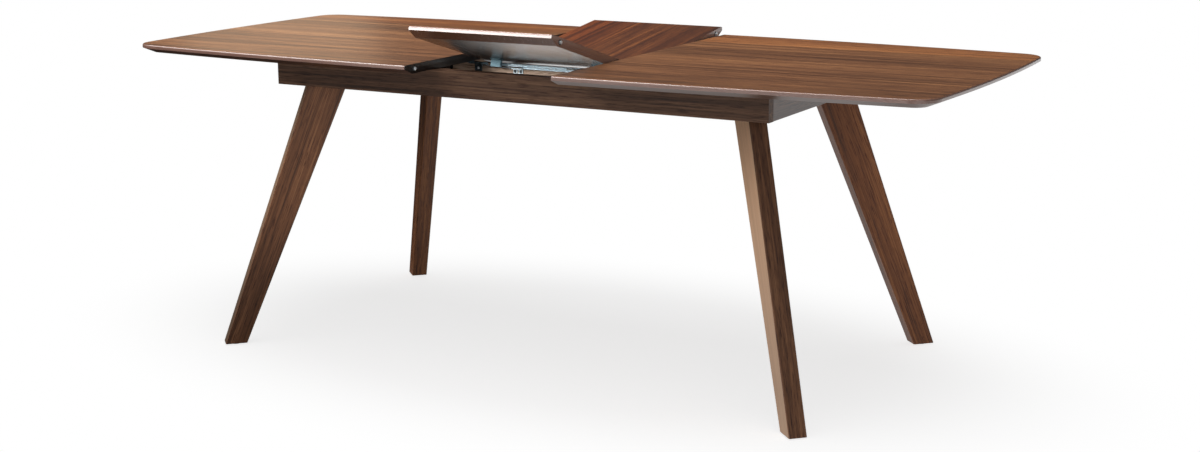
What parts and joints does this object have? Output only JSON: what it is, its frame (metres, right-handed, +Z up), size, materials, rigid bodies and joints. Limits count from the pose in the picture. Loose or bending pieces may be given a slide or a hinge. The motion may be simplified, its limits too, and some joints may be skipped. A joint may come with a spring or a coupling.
{
  "type": "extending dining table",
  "caption": "Extending dining table on splayed legs, with sliding half tops and a folding butterfly leaf shown half raised.",
  "frame": {"origin": "on the floor under the middle of the table", "axes": "+X along the table towards its right end, +Y from its front to its back, +Z up"},
  "size_m": [2.141, 0.9, 0.84],
  "materials": {
    "left_veneer": "open-pore walnut veneer, satin lacquer",
    "right_veneer": "open-pore walnut veneer, satin lacquer",
    "far_leaf_veneer": "walnut veneer across the table, satin lacquer",
    "near_leaf_veneer": "walnut veneer across the table, satin lacquer",
    "apron_veneer": "dark walnut, satin lacquer",
    "leg_walnut": "solid walnut, satin lacquer",
    "frame_wood": "stained hardwood, matt",
    "inner_beech": "stained hardwood, matt",
    "dowel_beech": "plain beech",
    "glide_plastic": "moulded",
    "felt": "pressed felt",
    "zinc_steel": "zinc plated",
    "dark_steel": "dark plated",
    "bright_steel": "drawn and plated",
    "bracket_steel": "dark zinc",
    "foot_metal": "zinc plated, dull",
    "cage_steel": "plain sheet",
    "ball_steel": "polished",
    "screw_steel": "zinc plated",
    "pin_metal": "turned",
    "socket_plastic": "moulded",
    "hinge_steel": "nickel plated"
  },
  "bodies": {
    "base": {"front_apron": "apron_veneer", "rear_apron": "apron_veneer", "left_end_apron": "apron_veneer", "right_end_apron": "apron_veneer", "apron_dowels": "dowel_beech", "front_left_leg": "leg_walnut", "front_right_leg": "leg_walnut", "rear_left_leg": "leg_walnut", "rear_right_leg": "leg_walnut", "corner_blocks": "inner_beech", "leg_bolts": "screw_steel", "foot_glides": "glide_plastic", "front_beam": "frame_wood", "rear_beam": "frame_wood", "cross_rails": "frame_wood", "rest_pads": "felt", "left_slide_channels": "zinc_steel", "right_slide_channels": "zinc_steel", "frame_screws": "screw_steel", "front_stop_rail": "zinc_steel", "slotted_brackets": "bracket_steel", "pivot_brackets": "bracket_steel", "pivot_pins": "screw_steel"},
    "left_top": {"left_top_panel": "left_veneer", "left_front_cleat": "inner_beech", "left_rear_cleat": "inner_beech", "left_front_slide_runner": "zinc_steel", "left_rear_slide_runner": "zinc_steel", "left_top_screws": "screw_steel", "left_stop_bracket": "dark_steel", "left_stop_rod": "bright_steel", "left_top_pins": "pin_metal"},
    "right_top": {"right_top_panel": "right_veneer", "right_front_cleat": "inner_beech", "right_rear_cleat": "inner_beech", "right_front_slide_runner": "zinc_steel", "right_rear_slide_runner": "zinc_steel", "right_top_screws": "screw_steel", "right_stop_bracket": "dark_steel", "right_stop_rod": "bright_steel", "right_top_sockets": "socket_plastic"},
    "left_cages": {"left_ball_cages": "cage_steel", "left_slide_balls": "ball_steel"},
    "right_cages": {"right_ball_cages": "cage_steel", "right_slide_balls": "ball_steel"},
    "far_leaf": {"far_leaf_panel": "far_leaf_veneer", "far_leaf_pin": "pin_metal", "far_leaf_socket": "socket_plastic", "far_leaf_hinge_cups": "hinge_steel", "far_leaf_ears": "bracket_steel", "far_leaf_screws": "screw_steel"},
    "near_leaf": {"hinge_links": "hinge_steel", "near_leaf_panel": "near_leaf_veneer", "near_leaf_pin": "pin_metal", "near_leaf_socket": "socket_plastic", "near_leaf_hinge_cups": "hinge_steel", "near_leaf_feet": "foot_metal", "near_leaf_screws": "screw_steel"}
  },
  "joints": [
    {"name": "left_top_slide", "type": "slide", "parent": "base", "child": "left_top", "axis": [1, 0, 0], "range_m": [-0.015, 0.0052]},
    {"name": "right_top_slide", "type": "slide", "parent": "base", "child": "right_top", "axis": [1, 0, 0], "range_m": [-0.0052, 0.015]},
    {"name": "left_cages_slide", "type": "slide", "parent": "base", "child": "left_cages", "axis": [1, 0, 0], "range_m": [-0.0075, 0.0026]},
    {"name": "right_cages_slide", "type": "slide", "parent": "base", "child": "right_cages", "axis": [1, 0, 0], "range_m": [-0.0026, 0.0075]},
    {"name": "far_leaf_tilt", "type": "hinge", "parent": "base", "child": "far_leaf", "pos_m": [0, 0.281, 0.713], "axis": [1, 0, 0], "range_deg": [-7.25, 0]},
    {"name": "near_leaf_fold", "type": "hinge", "parent": "far_leaf", "child": "near_leaf", "pos_m": [0, -0.00245, 0.71449], "axis": [1, 0, 0], "range_deg": [0, 23.6]}
  ],
  "couplings": [
    {"joint": "left_cages_slide", "follows": "left_top_slide", "ratio": 0.5},
    {"joint": "right_cages_slide", "follows": "right_top_slide", "ratio": 0.5},
    {"joint": "near_leaf_fold", "follows": "far_leaf_tilt", "ratio": -3.2552}
  ]
}
